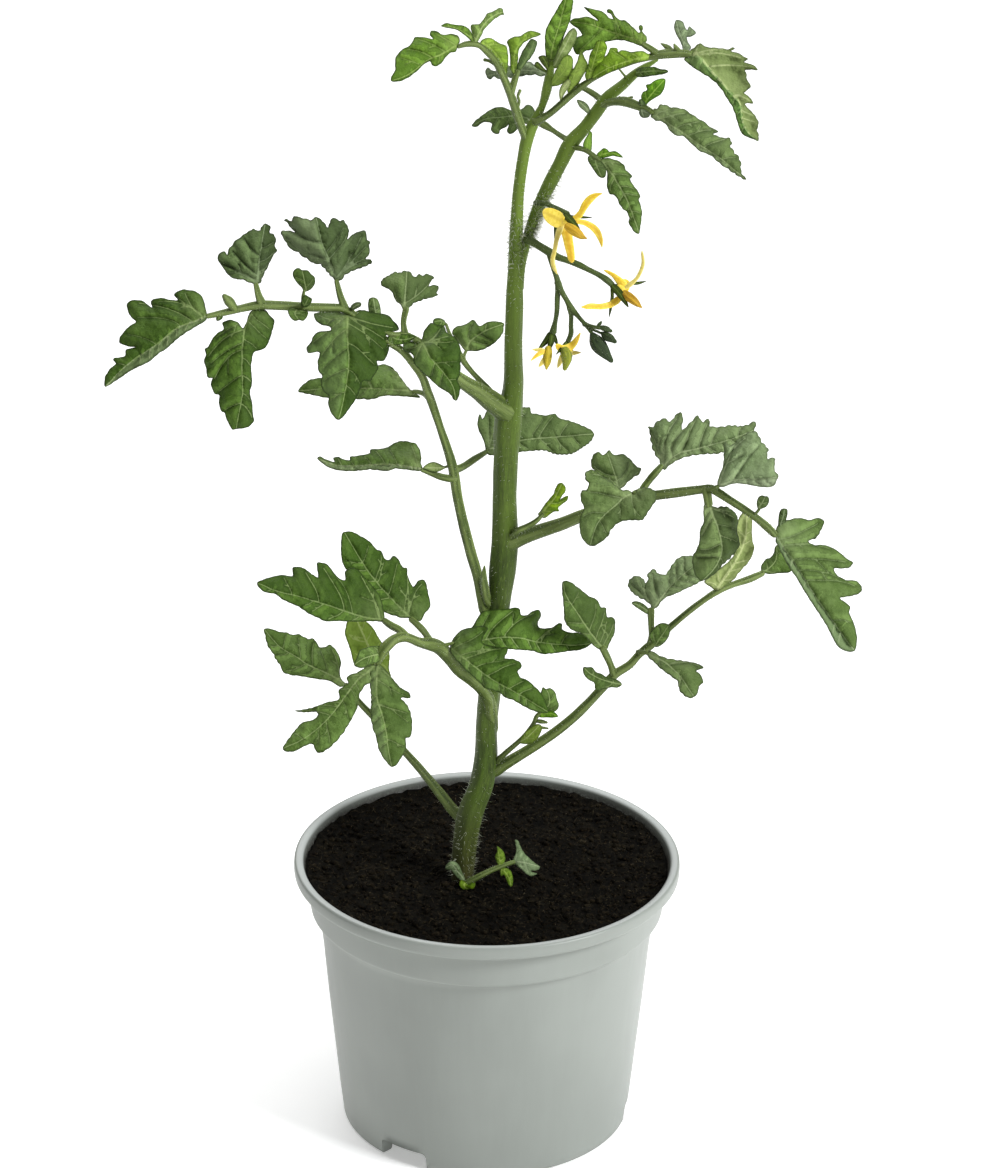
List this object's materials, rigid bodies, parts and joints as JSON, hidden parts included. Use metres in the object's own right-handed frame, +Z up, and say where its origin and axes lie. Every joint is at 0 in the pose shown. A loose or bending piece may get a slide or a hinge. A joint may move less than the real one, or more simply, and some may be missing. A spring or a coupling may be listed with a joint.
{
  "type": "potted tomato plant",
  "caption": "Young flowering tomato plant with an arching stem and toothed leaves, growing in soil in a plain round nursery pot with a rolled lip.",
  "frame": {"origin": "centre of the pot's foot on the surface that it stands on", "axes": "+Z up along the pot's axis, -Y towards the viewer of the picture, +X to the viewer's right"},
  "size_m": [0.2216, 0.12, 0.3635],
  "materials": {
    "pot_plastic": "satin light grey-green moulded plastic",
    "potting_soil": null,
    "stem": null,
    "stalk": null,
    "leaf": null,
    "petal": null,
    "anther": null
  },
  "bodies": {
    "root": {"pot": "pot_plastic", "soil": "potting_soil", "main_stem": "stem", "side_branch": "stem", "leaf1_stalk": "stalk", "leaf2_stalk": "stalk", "leaf3_stalk": "stalk", "leaf4_stalk": "stalk", "leaf5_stalk": "stalk", "leaf6_stalk": "stalk", "leaf8_stalk": "stalk", "leaf9_stalk": "stalk", "leaf10_stalk": "stalk", "leaf10_lower_stalk": "stalk", "rear_leaf": "leaf", "rear_leaf_small": "leaf", "truss_stalk": "stalk", "base_sprout": "stalk", "flower1_corolla": "petal", "flower2_corolla": "petal", "flower1_anther_cone": "anther", "flower2_anther_cone": "anther", "flower3_corolla": "petal", "flower4_corolla": "petal", "leaf1_leaflet_tip": "leaf", "leaf1_leaflet_side": "leaf", "leaf2_leaflet_left_lower": "leaf", "leaf2_leaflet_left_upper": "leaf", "leaf2_leaflet_end_left": "leaf", "leaf2_leaflet_end_down": "leaf", "leaf2_leaflet_right_upper": "leaf", "leaf2_leaflet_right_lower": "leaf", "leaf3_leaflet_first": "leaf", "leaf3_leaflet_lower": "leaf", "leaf3_leaflet_upper": "leaf", "leaf3_leaflet_upright": "leaf", "leaf4_leaflet_tip": "leaf", "leaf4_leaflet_over_stalk": "stalk", "leaf4_leaflet_up_small": "leaf", "leaf4_leaflet_up": "leaf", "leaf4_leaflet_end_up": "leaf", "leaf4_leaflet_hanging": "leaf", "leaf4_shoot_leaf": "leaf", "leaf5_leaflet_tip": "leaf", "leaf5_leaflet_back_left": "leaf", "leaf5_leaflet_down_left": "leaf", "leaf5_leaflet_back_mid": "leaf", "leaf5_leaflet_down_mid": "leaf", "leaf5_leaflet_behind": "leaf", "leaf5_leaflet_right": "leaf", "leaf5_leaflet_left": "leaf", "leaf6_leaflet_up": "leaf", "leaf6_leaflet_front": "leaf", "leaf6_leaflet_back": "leaf", "leaf8_leaflet_tip": "leaf", "leaf9_leaflet_back": "leaf", "leaf9_leaflet_low": "leaf", "leaf9_leaflet_tip": "leaf", "leaf10_leaflet_tip": "leaf", "leaf10_leaflet_hanging": "leaf"}
  },
  "joints": []
}
